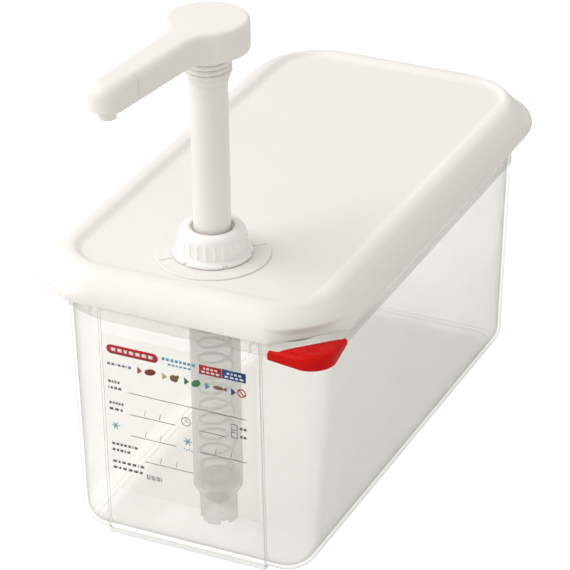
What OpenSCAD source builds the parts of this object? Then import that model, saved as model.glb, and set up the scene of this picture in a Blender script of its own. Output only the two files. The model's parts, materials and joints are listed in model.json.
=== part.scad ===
// Gastronorm food container with a piston pump in its lid, in millimetres.
// Origin: on the standing surface, at the centre of the container. +Z is up,
// -Y is the front with the label, and the pump stands near the front.

/* [Container] */
// Width of the rim, side to side
rim_w = 176; // [170:1:182]
// Length of the rim, front to back
rim_l = 325; // [315:1:335]
// Height of the rim's top above the standing surface
body_h = 150; // [145:1:155]
// Thickness of the container's walls
wall_t = 2.2; // [1.8:0.1:2.6]
// Radius of the edge between the walls and the floor
floor_edge_r = 14; // [10:1:16]
// Half the width of the flat label pad
pad_half = 47; // [40:1:50]

/* [Lid] */
// Height of the lid's sunk panel above the standing surface
panel_z = 166; // [165:0.5:167]
// Height of the lid's bead above its panel
bead_h = 2.6; // [2:0.2:3.4]

/* [Pump] */
// Distance of the pump's axis in front of the container's centre
pump_y = 108.5; // [100:0.5:112]
// Outside diameter of the pump cylinder
cylinder_d = 27; // [27:0.1:27.4]
// Diameter of the stem
stem_d = 20; // [19.6:0.1:20]
// Height of the pump head's underside, with the pump at rest
head_z = 284; // [278:0.1:290]
// Diameter of the pump head
head_d = 44; // [40:1:48]
// Height of the pump head
head_h = 17; // [16:0.2:18]
// Distance from the stem's axis to the outlet's axis
spout_reach = 90; // [70:1:100]
// Half the width of the spout at its end
spout_half = 9.4; // [9:0.1:10]
// Angle of the spout, turned from straight ahead towards the left
spout_angle = 6.5; // [0:0.5:45]

/* [Spring] */
// Turns of the return spring
spring_turns = 13; // [10:1:14]
// Diameter of the spring's wire
spring_wire_d = 1.5; // [1.2:0.1:1.6]

/* [Hidden] */
$fn = 72;
tiny = 0.01;
corner_steps = 11;

hx = rim_w / 2;
hy = rim_l / 2;
// Corners are listed back right, back left, front left, front right.
round_corners = [0, 0, 0, 0];

// Container walls: inset from the rim's outline at the top, and taper down to the floor.
wall_inset = [10.9, 11.3];
wall_taper = [7.5, 3.3];
wall_r_top = 30;
wall_r_bottom = 18;
floor_t = 2.5;
flange_t = 2;
lip_t = 1.8;
lip_drop = 5.6;
// Radius of each corner of the rim; the front right one is a straight chamfer for the clip.
flange_r = [56, 56, 56, 24.9];
flange_cut = [0, 0, 0, 1];

// Label pad and its film.
pad_proud = 0.6;
pad_bottom = 4.1;
film_t = 0.2;
film_half = 44.5;
film_z = [34, 130];

// Colour clip.
clip_gap = 0.15;
clip_wall = 1.9;
clip_corner_r = 13.9;
clip_end_r = 0.8;
clip_leg = [32.6, 28.4];
clip_top = body_h - 0.2;
clip_low = body_h - lip_drop - 2.6;
dimple_r = 3.6;
dimple_at = [hx - 8.4, -hy + 6.2];

// Lid.
lid_t = 2.2;
crest_z = panel_z + bead_h;
skirt_z = body_h + 1.5;
// Corners of the lid's edge and of its bead: the edge reaches out further at two finger ears.
lid_edge_r = [43, 50, 30, 32];
lid_cut = [0, 0, 0.46, 0.88];
bead_r = [51, 46, 40, 36];
panel_corner_r = 20;
adapter_hole_r = 22;
plug_z = body_h - 6;

// Pump stack on the lid.
cyl_r = cylinder_d / 2;
bore_r = 12;
disc_r = 30.8;
disc_z = panel_z + 0.4;
disc_t = 0.5;
neck_r = 15;
neck_top = panel_z + 11.5;
nut_z = disc_z + disc_t + 0.2;
nut_top = nut_z + 16;
nut_r = 18.5;
nut_flange_r = 21.3;
nut_opening_r = 12.8;
cyl_flange_z = neck_top + 1;
cyl_flange_t = 1.8;
cyl_flange_r = 15.3;
cyl_top = cyl_flange_z + cyl_flange_t;
foot_z = 3.7;
foot_r = 10.25;

// Inlet valve.
seat_z = 13;
seat_r = 3.4;
inlet_ball_r = 5.5;
inlet_ball_z = seat_z - seat_r + sqrt(2) * inlet_ball_r + 0.05;
cage_z = 26;
cage_t = 2.4;

// Plunger.
stem_r = stem_d / 2;
stem_bore_r = 6.5;
running = 0.05;
piston_z = 138;
piston_top = 158.5;
piston_r = 11.6;
outlet_seat_z = 141;
outlet_seat_r = 2.8;
outlet_ball_r = 4.5;
outlet_ball_z = outlet_seat_z - outlet_seat_r + sqrt(2) * outlet_ball_r + 0.05;
stem_z = 149;
stem_top = head_z + 4.3;
collar_h = 18.2;

// Head and spout.
head_r = head_d / 2;
head_top = head_z + head_h;
arm_rise = 2.6;
lower_edge_r = 0.8;
blend_r = 18;
seam_y = spout_reach - 14;
channel_z = head_z + 9;
channel_r = 3;
spigot_r = 4.4;
outlet_r = 4.6;
outlet_bore_r = 3.3;
outlet_drop = 2.8;

// ---- shared shapes ----

// Points of one corner, from angle a0 to a0 + 90; cut = 1 makes it a straight chamfer.
function corner(cx, cy, r, cut, a0) = [
    for (i = [0 : corner_steps])
        let (
            share = i / corner_steps,
            arc = [cx + r * cos(a0 + 90 * share), cy + r * sin(a0 + 90 * share)],
            first = [cx + r * cos(a0), cy + r * sin(a0)],
            last = [cx + r * cos(a0 + 90), cy + r * sin(a0 + 90)],
            chord = first + share * (last - first)
        )
        arc + cut * (chord - arc)
];

// Closed outline of a rounded rectangle at height z, with its own radius at each corner.
function ring(w, l, r, z, cut = round_corners) = [
    for (p = concat(
        corner(w - r[0], l - r[0], r[0], cut[0], 0),
        corner(r[1] - w, l - r[1], r[1], cut[1], 90),
        corner(r[2] - w, r[2] - l, r[2], cut[2], 180),
        corner(w - r[3], r[3] - l, r[3], cut[3], 270)
    )) [p.x, p.y, z]
];

// Faces of the flat cap over a ring of n points. A ring that mirrors itself about the line
// through its point m is capped in strips between mirrored points, which suits hollow outlines.
function cap_faces(n, m) =
    is_undef(m)
        ? [[for (i = [0 : n - 1]) i]]
        : [for (k = [0 : n / 2 - 1])
            let (a = m + k, b = a + 1, c = (n + m - k - 1) % n, d = (n + m - k) % n)
            k == 0 ? [a, b, c] : b == c ? [a, b, d] : [a, b, c, d]];

// Solid through a list of rings, closed flat at the first and the last.
module skin(rings, m) {
    n = len(rings[0]);
    rows = len(rings);
    sides = [
        for (k = [0 : rows - 2], i = [0 : n - 1])
            let (j = (i + 1) % n)
            each [
                [k * n + i, (k + 1) * n + i, (k + 1) * n + j],
                [k * n + i, (k + 1) * n + j, k * n + j]
            ]
    ];
    first = cap_faces(n, m);
    last = [for (f = first) [for (i = [len(f) - 1 : -1 : 0]) (rows - 1) * n + f[i]]];
    polyhedron(points = [for (r = rings) each r], faces = concat(first, sides, last));
}

module rounded_rect(w, l, r) {
    square([2 * w, 2 * (l - r)], center = true);
    square([2 * (w - r), 2 * l], center = true);
    for (x = [-1, 1], y = [-1, 1])
        translate([x * (w - r), y * (l - r)])
            circle(r);
}

module tube(r_out, r_in, z, h) {
    translate([0, 0, z])
        difference() {
            cylinder(r = r_out, h = h);
            translate([0, 0, -1])
                cylinder(r = r_in, h = h + 2);
        }
}

module at_pump() {
    translate([0, -pump_y, 0])
        children();
}

// ---- container ----

function wall_x(z) = hx - wall_inset.x - wall_taper.x * (1 - z / body_h);
function wall_y(z) = hy - wall_inset.y - wall_taper.y * (1 - z / body_h);
function wall_r(z) = wall_r_bottom + (wall_r_top - wall_r_bottom) * z / body_h;

// Ring of the wall's surface at height z, moved inwards by d.
function wall_ring(z, d) =
    let (r = max(wall_r(z) - d, 1))
    ring(wall_x(z) - d, wall_y(z) - d, [r, r, r, r], z);

// Ring of the rim, moved inwards by d; a chamfer keeps its thickness, as an arc does.
function flange_ring(d, z) =
    let (r = [for (i = [0 : 3]) flange_r[i] - d * (flange_cut[i] == 1 ? 2 - sqrt(2) : 1)])
    ring(hx - d, hy - d, r, z, flange_cut);

// Rings round the floor's edge, a quarter circle of radius r that stands on height z0.
function floor_rings(r, z0, t, angles) = [
    for (a = angles)
        let (z = z0 + r * (1 - sin(a)))
        wall_ring(z, t + r * (1 - cos(a)))
];

module label_pad() {
    edge = [for (a = [45 : -15 : 0])
        let (z = floor_edge_r * (1 - sin(a)))
        [-(wall_y(z) - floor_edge_r * (1 - cos(a)) - 1), z]];
    top_z = body_h - flange_t / 2;
    rotate([90, 0, 90])
        translate([0, 0, -pad_half])
            linear_extrude(2 * pad_half)
                polygon(concat(
                    [[-(wall_y(pad_bottom) + pad_proud), pad_bottom]],
                    edge,
                    [[-(wall_y(top_z) - 1), top_z], [-(wall_y(top_z) + pad_proud), top_z]]
                ));
}

module container() {
    inner_r = floor_edge_r - wall_t;
    under = body_h - flange_t;
    lip_z = body_h - lip_drop;
    color([0.86, 0.9, 0.92, 0.45])
        union() {
            skin(concat(
                floor_rings(floor_edge_r, 0, 0, [90 : -15 : 0]),
                [
                    wall_ring(under, 0),
                    flange_ring(lip_t, under),
                    flange_ring(lip_t, lip_z),
                    flange_ring(0, lip_z),
                    flange_ring(0, body_h - 0.7),
                    flange_ring(0.7, body_h),
                    wall_ring(body_h, wall_t - 0.6),
                    wall_ring(body_h - 0.6, wall_t)
                ],
                floor_rings(inner_r, floor_t, wall_t, [0 : 15 : 90])
            ));
            label_pad();
        }
}

module label_film() {
    z0 = film_z[0];
    z1 = film_z[1];
    y0 = -(wall_y(z0) + pad_proud) - tiny;
    y1 = -(wall_y(z1) + pad_proud) - tiny;
    color([0.95, 0.96, 0.97, 0.3])
        rotate([90, 0, 90])
            translate([0, 0, -film_half])
                linear_extrude(2 * film_half)
                    polygon([[y0, z0], [y1, z1], [y1 - film_t, z1], [y0 - film_t, z0]]);
}

// ---- colour clip ----

// Plan of the clip, its outer sides moved inwards by d.
module clip_plan(d) {
    x = hx + clip_wall - d;
    y = -(hy + clip_wall - d);
    r = clip_corner_r - d;
    hull() {
        polygon(corner(x - r, y + r, r, 0, 270));
        translate([hx + clip_wall - clip_leg.x + clip_end_r + d / 2, y + clip_end_r])
            circle(clip_end_r);
        translate([x - clip_end_r, clip_leg.y - hy - clip_wall - clip_end_r - d / 2])
            circle(clip_end_r);
    }
}

module clip_layer(z, h, d) {
    translate([0, 0, z])
        linear_extrude(h)
            clip_plan(d);
}

module colour_clip() {
    $fn = 32;
    color([0.78, 0.09, 0.07])
        difference() {
            hull() {
                clip_layer(clip_low, clip_top - 2.4 - clip_low, 0);
                clip_layer(clip_top - 1.1, 0.1, 1.1);
                clip_layer(clip_top - 0.1, 0.1, 4);
            }
            translate([0, 0, body_h - lip_drop - 0.2])
                linear_extrude(lip_drop + 2)
                    polygon([for (p = flange_ring(-clip_gap, 0)) [p.x, p.y]]);
            translate([dimple_at.x, dimple_at.y, clip_top - 0.25])
                cylinder(r = dimple_r, h = 1, $fn = 48);
        }
}

// ---- lid ----

// Outer profile of the lid, from the skirt's lower edge to the panel: inset, height, how far
// the corners have gone from the bead's radius to the panel's, and their share of the edge's.
lid_profile = [
    [-0.4, skirt_z, 0, 1], [-0.3, skirt_z + 1.5, 0, 1], [0, skirt_z + 3.3, 0, 1],
    [0.6, skirt_z + 5, 0, 0.75], [1.4, skirt_z + 6.8, 0, 0.3], [2.4, skirt_z + 8.6, 0, 0.08],
    [5, skirt_z + 12, 0.1, 0], [7.6, crest_z - 2.6, 0.2, 0], [9.8, crest_z - 1, 0.32, 0],
    [12.2, crest_z - 0.2, 0.48, 0], [14.4, crest_z, 0.64, 0], [16.4, crest_z - 0.4, 0.78, 0],
    [18.2, panel_z + 1.1, 0.9, 0], [20, panel_z + 0.25, 1, 0], [22, panel_z, 1, 0]
];

function lid_ring(p) =
    let (
        edge = p[3],
        r = [for (i = [0 : 3])
            edge * lid_edge_r[i] + (1 - edge) * (bead_r[i] + (panel_corner_r - bead_r[i]) * p[2])]
    )
    ring(hx - p[0], hy - p[0], r, p[1], edge * lid_cut);

function even_ring(w, l, r, z) = ring(w, l, [r, r, r, r], z);

module lid() {
    in_x = wall_x(body_h) - wall_t;
    in_y = wall_y(body_h) - wall_t;
    under = panel_z - lid_t;
    plug = [in_x - 2.4, in_y - 2.4];
    land_r = 40;
    land = [hx - 7.2, hy - 7.2];
    underside = [
        even_ring(plug.x - 5, plug.y - 5, 20, under),
        even_ring(plug.x - 2, plug.y - 2, 23.4, under),
        even_ring(plug.x - 2, plug.y - 2, 23.4, plug_z),
        even_ring(plug.x, plug.y, 25.4, plug_z),
        even_ring(plug.x, plug.y, 25.4, skirt_z + 7),
        even_ring(land.x - 1.8, land.y - 1.8, land_r - 1.8, skirt_z + 7),
        even_ring(land.x - 1.8, land.y - 1.8, land_r - 1.8, body_h + 0.1),
        even_ring(land.x, land.y, land_r, body_h + 0.1),
        even_ring(land.x, land.y, land_r, skirt_z + 7),
        lid_ring([4, skirt_z + 6.6, 0, 0.3]),
        lid_ring([1.5, skirt_z + 2, 0, 1])
    ];
    color([0.95, 0.94, 0.92])
        difference() {
            skin(concat(underside, [lid_ring([1.5, skirt_z, 0, 1])], [for (p = lid_profile) lid_ring(p)]));
            at_pump()
                translate([0, 0, panel_z - 10])
                    cylinder(r = adapter_hole_r, h = 20);
        }
}

module lid_gasket() {
    in_x = wall_x(body_h) - wall_t;
    in_y = wall_y(body_h) - wall_t;
    in_r = wall_r_top - wall_t;
    color([0.88, 0.89, 0.87])
        translate([0, 0, body_h - 4.6])
            linear_extrude(3.6)
                difference() {
                    rounded_rect(in_x - 0.35, in_y - 0.35, in_r - 0.35);
                    rounded_rect(in_x - 2.3, in_y - 2.3, in_r - 2.3);
                }
}

// ---- pump neck ----

module neck_adapter() {
    hub_z = panel_z - 6;
    rib_angles = [-6, 42, 174, 222];
    color([0.93, 0.92, 0.9])
        at_pump()
            difference() {
                union() {
                    rotate_extrude()
                        polygon([
                            [cyl_r + 0.3, hub_z], [adapter_hole_r - 0.2, hub_z],
                            [adapter_hole_r + 0.6, panel_z - 3.4],
                            [adapter_hole_r + 0.6, panel_z - lid_t - 0.3],
                            [adapter_hole_r - 0.2, panel_z - lid_t - 0.3], [adapter_hole_r - 0.2, disc_z],
                            [disc_r - 1, disc_z], [disc_r - 1, panel_z + 0.05], [disc_r, panel_z + 0.05],
                            [disc_r, disc_z + disc_t - 0.3], [disc_r - 0.3, disc_z + disc_t],
                            [neck_r, disc_z + disc_t], [neck_r, neck_top - 0.4],
                            [neck_r - 0.4, neck_top], [cyl_r + 0.3, neck_top]
                        ]);
                    for (z = [nut_z + 1.6 : 2.5 : nut_z + 7])
                        translate([0, 0, z])
                            rotate_extrude()
                                polygon([
                                    [neck_r - 0.4, -0.8], [neck_r + 0.5, -0.2],
                                    [neck_r + 0.5, 0.2], [neck_r - 0.4, 0.8]
                                ]);
                    for (a = rib_angles)
                        rotate([0, 0, a])
                            translate([nut_flange_r + 1, -0.6, disc_z + disc_t - 0.3])
                                cube([disc_r - nut_flange_r - 2.6, 1.2, 0.7]);
                }
                tube(adapter_hole_r - 1.7, neck_r + 1.6, hub_z - 1, 6);
            }
}

module neck_seal() {
    color([0.82, 0.83, 0.82])
        at_pump()
            tube(disc_r - 2, adapter_hole_r + 0.6, panel_z + 0.03, 0.34);
}

module closure_nut() {
    grips = 24;
    notches = 6;
    inside_r = neck_r + 0.65;
    ceiling = cyl_top + 0.3;
    color([0.96, 0.96, 0.95])
        at_pump()
            difference() {
                rotate_extrude()
                    polygon([
                        [inside_r, nut_z], [nut_flange_r - 0.4, nut_z], [nut_flange_r, nut_z + 0.5],
                        [nut_flange_r - 0.5, nut_z + 1.7], [nut_r + 0.2, nut_z + 2.4],
                        [nut_r, nut_top - 5], [nut_r - 0.6, nut_top - 3], [nut_r - 1.7, nut_top - 1.4],
                        [nut_r - 3.2, nut_top - 0.3], [nut_r - 4.4, nut_top], [nut_opening_r + 0.6, nut_top],
                        [nut_opening_r, nut_top - 0.6], [nut_opening_r, ceiling], [inside_r, ceiling]
                    ]);
                for (i = [0 : grips - 1])
                    rotate([0, 0, i * 360 / grips])
                        translate([nut_r - 0.35, -1.6, nut_z + 3])
                            cube([2, 3.2, nut_top - nut_z - 8.4]);
                for (i = [0 : notches - 1])
                    rotate([0, 0, i * 360 / notches + 14])
                        translate([nut_flange_r - 1.2, -1.3, nut_z - 1])
                            cube([3, 2.6, 4]);
            }
}

module cylinder_gasket() {
    color([0.85, 0.86, 0.85])
        at_pump()
            tube(cyl_flange_r, cyl_r + 0.2, neck_top + 0.03, 0.94);
}

// ---- pump cylinder and what is fixed in it ----

module pump_cylinder() {
    notches = 4;
    color([0.88, 0.89, 0.9])
        at_pump()
            difference() {
                rotate_extrude()
                    polygon([
                        [8.4, foot_z], [foot_r, foot_z], [foot_r, 19.3], [cyl_r, 25.3],
                        [cyl_r, cyl_flange_z], [cyl_flange_r, cyl_flange_z], [cyl_flange_r, cyl_top],
                        [bore_r, cyl_top], [bore_r, cage_z], [9.5, cage_z], [9.5, 22.5], [7.5, 20.2],
                        [7.5, seat_z - seat_r + 7.5], [seat_r, seat_z], [seat_r, seat_z - 1], [8.4, seat_z - 1]
                    ]);
                for (i = [0 : notches - 1])
                    rotate([0, 0, 45 + i * 360 / notches])
                        translate([5, -2.5, foot_z - 1])
                            cube([8, 5, 3.4]);
            }
}

module guide_bush() {
    bush_z = piston_top + 1.5;
    wiper_z = cyl_top - 2.6;
    color([0.91, 0.91, 0.89])
        at_pump()
            rotate_extrude()
                polygon([
                    [stem_r + running, bush_z], [bore_r - 0.05, bush_z], [bore_r - 0.05, cyl_top + 0.03],
                    [nut_opening_r - 0.2, cyl_top + 0.03], [nut_opening_r - 0.2, cyl_top + 0.8],
                    [nut_opening_r - 0.6, cyl_top + 1.1], [stem_r + 0.6, cyl_top + 1.1],
                    [stem_r + running, cyl_top + 0.6], [stem_r + running, wiper_z + 1.6],
                    [stem_r + 1.05, wiper_z + 1.6], [stem_r + 1.05, wiper_z], [stem_r + running, wiper_z]
                ]);
}

module stem_wiper() {
    color([0.75, 0.77, 0.77])
        at_pump()
            tube(stem_r + 1, stem_r + 0.03, cyl_top - 2.55, 1.5);
}

module ball_cage() {
    ports = 4;
    color([0.92, 0.92, 0.9])
        at_pump()
            difference() {
                union() {
                    translate([0, 0, cage_z + 0.03])
                        cylinder(r = bore_r - 0.05, h = cage_t);
                    tube(6.9, 5.6, cage_z + cage_t - 0.2, 2.2);
                }
                for (i = [0 : ports - 1])
                    rotate([0, 0, i * 360 / ports])
                        translate([3, 0, cage_z - 1])
                            cylinder(r = 1.9, h = 9);
            }
}

module inlet_ball() {
    color([0.72, 0.73, 0.75])
        at_pump()
            translate([0, 0, inlet_ball_z])
                sphere(r = inlet_ball_r);
}

// ---- return spring ----

spring_z0 = cage_z + cage_t + 0.1 + spring_wire_d / 2;
spring_z1 = piston_z - 0.08 - spring_wire_d / 2;
spring_r = 9.3;
spring_steps = 20;
wire_sides = 7;

// Height of the wire's centre: half a turn lies close at each end, the rest climbs evenly.
function climb(t) =
    let (rest = 0.8, body = max(0, min(1, (t - rest) / (spring_turns - 2 * rest))))
    spring_z0 + (spring_z1 - spring_z0) * body;

module return_spring() {
    sections = [
        for (k = [0 : spring_turns * spring_steps])
            let (t = k / spring_steps, a = 360 * t, z = climb(t))
            [for (i = [0 : wire_sides - 1])
                let (
                    b = -360 * i / wire_sides,
                    r = spring_r + spring_wire_d / 2 * cos(b)
                )
                [r * cos(a), r * sin(a), z + spring_wire_d / 2 * sin(b)]]
    ];
    color([0.7, 0.71, 0.73])
        at_pump()
            skin(sections);
}

// ---- plunger ----

module piston() {
    groove = 142;
    color([0.93, 0.93, 0.91])
        at_pump()
            rotate_extrude()
                polygon([
                    [outlet_seat_r, piston_z], [piston_r - 0.6, piston_z], [piston_r, piston_z + 0.6],
                    [piston_r, groove], [10.3, groove], [10.3, groove + 3.4], [piston_r, groove + 3.4],
                    [piston_r, piston_top - 0.6], [piston_r - 0.6, piston_top],
                    [stem_r + running, piston_top], [stem_r + running, stem_z - 0.1], [6.8, stem_z - 0.1],
                    [6.8, outlet_seat_z - outlet_seat_r + 6.8], [outlet_seat_r, outlet_seat_z]
                ]);
}

module piston_seal() {
    color([0.2, 0.21, 0.22])
        at_pump()
            rotate_extrude()
                polygon([
                    [10.35, 142.1], [bore_r - 0.35, 142.1], [bore_r - 0.05, 142.7],
                    [bore_r - 0.35, 143.4], [bore_r - 0.35, 144.1], [bore_r - 0.05, 144.8],
                    [bore_r - 0.35, 145.3], [10.35, 145.3]
                ]);
}

module outlet_ball() {
    color([0.72, 0.73, 0.75])
        at_pump()
            translate([0, 0, outlet_ball_z])
                sphere(r = outlet_ball_r);
}

module outlet_cage() {
    bar_z = 152.6;
    bar_half = stem_bore_r - 1.1;
    color([0.92, 0.92, 0.9])
        at_pump() {
            tube(stem_bore_r - 0.05, bar_half, bar_z, 4);
            translate([-bar_half, -0.9, bar_z])
                cube([2 * bar_half, 1.8, 1.6]);
            translate([-0.9, -bar_half, bar_z])
                cube([1.8, 2 * bar_half, 1.6]);
        }
}

module stem_tube() {
    color([0.94, 0.93, 0.91])
        at_pump()
            rotate_extrude()
                polygon([
                    [stem_bore_r, stem_z], [stem_r, stem_z], [stem_r, stem_top], [stem_bore_r, stem_top]
                ]);
}

module lock_collar() {
    z0 = head_z - collar_h;
    thread_z = head_z - 9;
    pitch = 2.2;
    color([0.94, 0.93, 0.91])
        at_pump() {
            rotate_extrude()
                polygon([
                    [stem_r + running, z0], [stem_r + 0.5, z0], [stem_r + 1, z0 + 2.4], [stem_r + 1, z0 + 5.2],
                    [stem_r + 1.6, z0 + 5.8], [stem_r + 1.6, head_z - 0.03], [stem_r + running, head_z - 0.03]
                ]);
            for (i = [0 : 2])
                translate([0, 0, thread_z + i * pitch])
                    rotate_extrude()
                        polygon([
                            [stem_r + 1.2, -0.9], [stem_r + 2.4, -0.3], [stem_r + 2.4, 0.3], [stem_r + 1.2, 0.9]
                        ]);
        }
}

// ---- head and spout ----

// Plan outline of head and spout, moved inwards by d; straight ahead is -Y. The spout's side
// runs into the head through an arc of radius blend_r, so every inset keeps its tangents.
blend_y = sqrt(pow(head_r + blend_r, 2) - pow(spout_half + blend_r, 2));
blend_a = atan2(blend_y, spout_half + blend_r);

tip_steps = 20;
blend_steps = 10;
disc_steps = 40;
plan_last = tip_steps + 2 * blend_steps + disc_steps + 1;

function plan_point(i, d) =
    i <= tip_steps
        ? let (a = 180 + 180 * i / tip_steps, r = spout_half - d)
          [r * cos(a), -spout_reach + r * sin(a)]
    : i <= tip_steps + 1 + blend_steps
        ? let (k = i - tip_steps - 1, a = 180 - blend_a * k / blend_steps)
          [spout_half + blend_r + (blend_r + d) * cos(a), -blend_y + (blend_r + d) * sin(a)]
    : i <= tip_steps + blend_steps + disc_steps
        ? let (k = i - tip_steps - 1 - blend_steps, a = -blend_a + (180 + 2 * blend_a) * k / disc_steps)
          [(head_r - d) * cos(a), (head_r - d) * sin(a)]
    : let (k = i - tip_steps - blend_steps - 1 - disc_steps, a = blend_a * (1 - k / blend_steps))
      [-spout_half - blend_r + (blend_r + d) * cos(a), -blend_y + (blend_r + d) * sin(a)];

// How far a point lies from the head, at 0, out along the spout, at 1.
function along(y) = max(0, min(1, (-y - 14) / 20));

// Radius of the top edge: small on the head, larger along the spout.
function edge_r(y) = 2.4 + 2 * along(y);

// Ring at angle a round the top edge, or round the lower edge, which rises under the spout.
function plan_ring(a, up) = [
    for (i = [0 : plan_last])
        let (
            e = up ? edge_r(plan_point(i, 0).y) : lower_edge_r,
            p = plan_point(i, e * (1 - cos(a))),
            z = up ? head_top - e * (1 - sin(a)) : head_z + arm_rise * along(p.y) + e * (1 - sin(a))
        )
        [p.x, p.y, z]
];

module head_blank() {
    skin(concat(
        [for (a = [90 : -30 : 0]) plan_ring(a, false)],
        [for (a = [0 : 15 : 90]) plan_ring(a, true)]
    ), tip_steps / 2);
}

module at_spout() {
    at_pump()
        rotate([0, 0, -spout_angle])
            children();
}

module pump_head() {
    color([0.94, 0.93, 0.91])
        at_spout()
            difference() {
                head_blank();
                translate([0, 0, head_z - 1])
                    cylinder(r = stem_r + running, h = stem_top - head_z + 1.05);
                translate([0, 0, head_z])
                    cylinder(r = stem_bore_r, h = channel_z + channel_r + 0.4 - head_z);
                translate([0, 0, channel_z])
                    rotate([90, 0, 0])
                        cylinder(r = channel_r, h = seam_y);
                translate([0, -seam_y + 7, channel_z])
                    rotate([90, 0, 0])
                        cylinder(r = spigot_r, h = 20);
                translate([-20, -spout_reach - 20, head_z - 5])
                    cube([40, spout_reach - seam_y + 20, head_h + 10]);
            }
}

module spout_tip() {
    color([0.94, 0.93, 0.91])
        at_spout()
            difference() {
                union() {
                    difference() {
                        head_blank();
                        translate([-40, -seam_y - 0.08, head_z - 5])
                            cube([80, 160, head_h + 10]);
                    }
                    translate([0, -seam_y + 6.5, channel_z])
                        rotate([90, 0, 0])
                            cylinder(r = spigot_r - running, h = 9);
                    translate([0, -spout_reach, head_z - outlet_drop])
                        cylinder(r = outlet_r, h = outlet_drop + arm_rise + 2);
                }
                translate([0, -seam_y + 7, channel_z])
                    rotate([90, 0, 0])
                        cylinder(r = channel_r, h = spout_reach - seam_y + 7);
                translate([0, -spout_reach, head_z - outlet_drop - 1])
                    cylinder(r = outlet_bore_r, h = channel_z + channel_r + 0.4 - head_z + outlet_drop + 1);
            }
}

container();
label_film();
colour_clip();
lid();
lid_gasket();
neck_adapter();
neck_seal();
closure_nut();
cylinder_gasket();
pump_cylinder();
guide_bush();
stem_wiper();
ball_cage();
inlet_ball();
return_spring();
piston();
piston_seal();
outlet_ball();
outlet_cage();
stem_tube();
lock_collar();
pump_head();
spout_tip();
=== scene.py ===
"""Food container with a piston pump in its lid: the looks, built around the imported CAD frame."""

import json
import math

import bmesh
import bpy
from mathutils import Matrix, Vector


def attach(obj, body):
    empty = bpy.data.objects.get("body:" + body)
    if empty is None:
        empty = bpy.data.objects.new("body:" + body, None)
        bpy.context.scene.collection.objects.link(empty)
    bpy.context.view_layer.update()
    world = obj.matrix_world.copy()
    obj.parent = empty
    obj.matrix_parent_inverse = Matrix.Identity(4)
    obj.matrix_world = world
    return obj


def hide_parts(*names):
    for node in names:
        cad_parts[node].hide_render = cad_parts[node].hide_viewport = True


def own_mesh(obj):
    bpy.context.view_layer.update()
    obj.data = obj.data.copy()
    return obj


MM = 0.001
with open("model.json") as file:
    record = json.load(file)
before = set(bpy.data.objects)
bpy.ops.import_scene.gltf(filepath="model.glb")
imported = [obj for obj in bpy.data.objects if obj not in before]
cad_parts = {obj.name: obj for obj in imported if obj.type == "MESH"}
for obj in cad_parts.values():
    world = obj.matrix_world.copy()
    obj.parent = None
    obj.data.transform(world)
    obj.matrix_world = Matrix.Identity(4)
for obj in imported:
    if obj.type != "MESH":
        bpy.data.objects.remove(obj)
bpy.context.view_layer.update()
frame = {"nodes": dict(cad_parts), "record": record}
NODES = frame["nodes"]

# ---- dimensions shared with the CAD part, in millimetres ----
HX, HY, BODY_H = 88.0, 162.5, 150.0
WALL_INSET, WALL_TAPER, WALL_R = (10.9, 11.3), (7.5, 3.3), (18.0, 30.0)
WALL_T, FLOOR_T, FLOOR_EDGE_R = 2.2, 2.5, 14.0
FLANGE_T, LIP_T, LIP_DROP = 2.0, 1.8, 5.6
FLANGE_R, FLANGE_CUT = (56.0, 56.0, 56.0, 24.9), (0, 0, 0, 1)
PAD_PROUD, PAD_BOTTOM = 0.6, 4.1
CLIP_WALL, CLIP_R, CLIP_END_R, CLIP_LEG, CLIP_TOP = 1.9, 13.9, 0.8, (32.6, 28.4), 149.8
PANEL_Z, CREST_Z, SKIRT_Z, LID_T, HOLE_R = 166.0, 168.6, 151.5, 2.2, 22.0
EDGE_R, EDGE_CUT, BEAD_R, PANEL_R = (43, 50, 30, 32), (0, 0, 0.46, 0.88), (51, 46, 40, 36), 20
PUMP_Y, STEM_R = 108.5, 10.0
NUT_Z, NUT_H, NUT_R, NUT_FLANGE_R, NUT_RIBS, NUT_NOTCHES = 167.1, 16.0, 18.5, 21.3, 24, 6
NUT_OPEN_R, NUT_IN_R, NUT_CEILING, NUT_LIP_R = 12.8, 15.65, 180.6, 11.4
HEAD_Z, HEAD_H, HEAD_R, COLLAR_H = 284.0, 17.0, 22.0, 18.2
SPOUT_REACH, SPOUT_ANGLE, SPOUT_HALF, ARM_RISE, BLEND_R = 90.0, 6.5, 9.4, 2.6, 18.0
SEAM_Y, OUTLET_DROP, OUTLET_R, OUTLET_BORE_R = 76.0, 2.8, 4.6, 3.3
STROKE, SPRING_FOOT, SPRING_TOP, SPRING_R, WIRE_R, TURNS = 80.0, 28.5, 137.92, 9.3, 0.75, 13

# ---- details that only the looks have, in millimetres ----
PATCH_X, PATCH_Y, PATCH_HALF, PATCH_R = -3.0, -119.5, 17.0, 12.0
PAD_LINE_X, PAD_LINE_Z, FOOT_LINE_Z, FRONT_Y = 46.8, 4.0, 4.4, -141.0
THREAD_PITCH, THREAD_DEPTH, THREAD_LOW, THREAD_HIGH = 2.9, 1.3, 4.2, 17.4
PRINT_T = 0.05
ARC_STEPS = 14


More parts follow.
